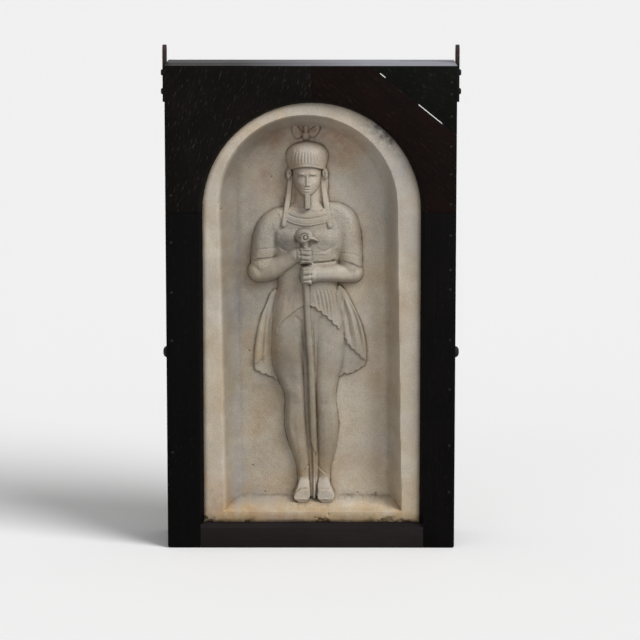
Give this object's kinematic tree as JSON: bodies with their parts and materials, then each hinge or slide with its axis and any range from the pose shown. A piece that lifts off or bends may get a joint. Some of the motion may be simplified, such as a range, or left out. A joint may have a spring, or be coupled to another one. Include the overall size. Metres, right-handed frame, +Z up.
{
  "type": "marble niche carving",
  "caption": "Standing Egyptian-style figure with a staff, carved in high relief in an arched marble niche, set in a black wooden case with iron hanging straps.",
  "frame": {"origin": "on the floor under the middle of the whole object's box, the straps' eyes, screws and bolt heads included", "axes": "+Z up along the figure, -Y is the way that the niche faces, +X is to the viewer's right"},
  "size_m": [0.383, 0.1046, 0.6424],
  "materials": {
    "marble": "weathered, dull",
    "black_wood": "ebonised, satin",
    "brown_wood": "ebonised, worn satin",
    "rusty_iron": "rusty brown, dull",
    "black_iron": "blackened"
  },
  "bodies": {
    "root": {"bottom_board": "black_wood", "bottom_rail": "black_wood", "broken_corner": "black_wood", "left_hanging_strap": "rusty_iron", "left_head_board": "brown_wood", "left_nail_1": "black_iron", "left_nail_2": "black_iron", "left_nail_3": "black_iron", "left_nail_4": "black_iron", "left_nail_5": "black_iron", "left_side": "black_wood", "left_side_bolt": "black_iron", "left_stile": "black_wood", "left_strap_screw_1": "rusty_iron", "left_strap_screw_2": "rusty_iron", "marble_relief": "marble", "right_hanging_strap": "rusty_iron", "right_head_board": "brown_wood", "right_nail_1": "black_iron", "right_nail_10": "black_iron", "right_nail_11": "black_iron", "right_nail_12": "black_iron", "right_nail_13": "black_iron", "right_nail_2": "black_iron", "right_nail_3": "black_iron", "right_nail_4": "black_iron", "right_nail_5": "black_iron", "right_nail_6": "black_iron", "right_nail_7": "black_iron", "right_nail_8": "black_iron", "right_nail_9": "black_iron", "right_side": "black_wood", "right_side_bolt": "black_iron", "right_stile": "black_wood", "right_strap_screw_1": "rusty_iron", "right_strap_screw_2": "rusty_iron", "top_board": "black_wood"}
  },
  "joints": []
}
